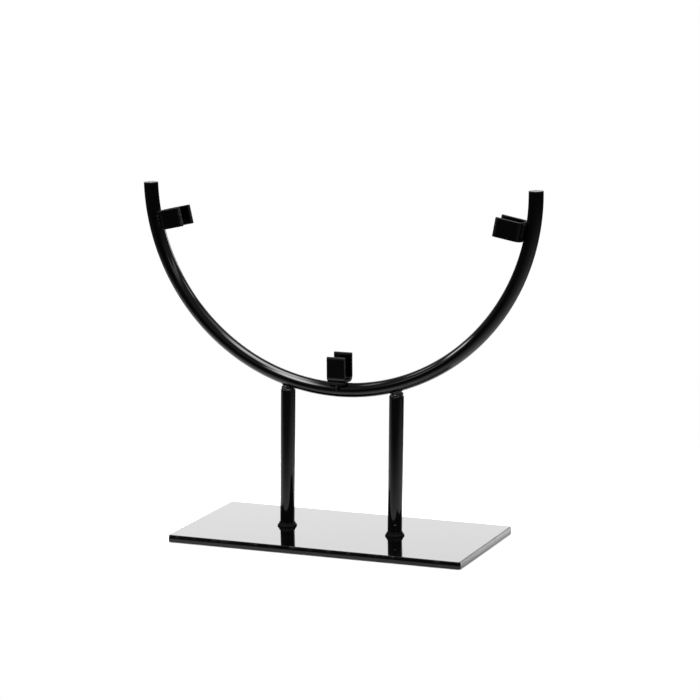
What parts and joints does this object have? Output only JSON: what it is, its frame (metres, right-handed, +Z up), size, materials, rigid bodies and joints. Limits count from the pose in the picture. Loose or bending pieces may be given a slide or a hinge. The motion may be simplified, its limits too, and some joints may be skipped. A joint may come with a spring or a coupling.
{
  "type": "disc display stand",
  "caption": "Free-standing painted steel stand: a flat plate and posts carry a half-round bar whose U-shaped clips hold the rim of an upright disc or panel.",
  "frame": {"origin": "middle of the base plate's underside", "axes": "+X along the plate's long side, to the right seen from the front; +Y from front to back, square to the disc's faces; +Z up"},
  "size_m": [0.277, 0.1016, 0.2354],
  "materials": {
    "plate_paint": "gloss black enamel over flat steel",
    "bar_paint": "gloss black enamel over round steel bar",
    "clip_paint": "gloss black enamel over bent steel strip",
    "weld_paint": "gloss black enamel over rippled weld beads"
  },
  "bodies": {
    "root": {"base_plate": "plate_paint", "left_post": "bar_paint", "right_post": "bar_paint", "arc_bar": "bar_paint", "left_clip": "clip_paint", "bottom_clip": "clip_paint", "right_clip": "clip_paint", "left_foot_weld": "weld_paint", "right_foot_weld": "weld_paint", "left_top_weld": "weld_paint", "right_top_weld": "weld_paint", "left_clip_weld": "weld_paint", "bottom_clip_weld": "weld_paint", "right_clip_weld": "weld_paint"}
  },
  "joints": []
}
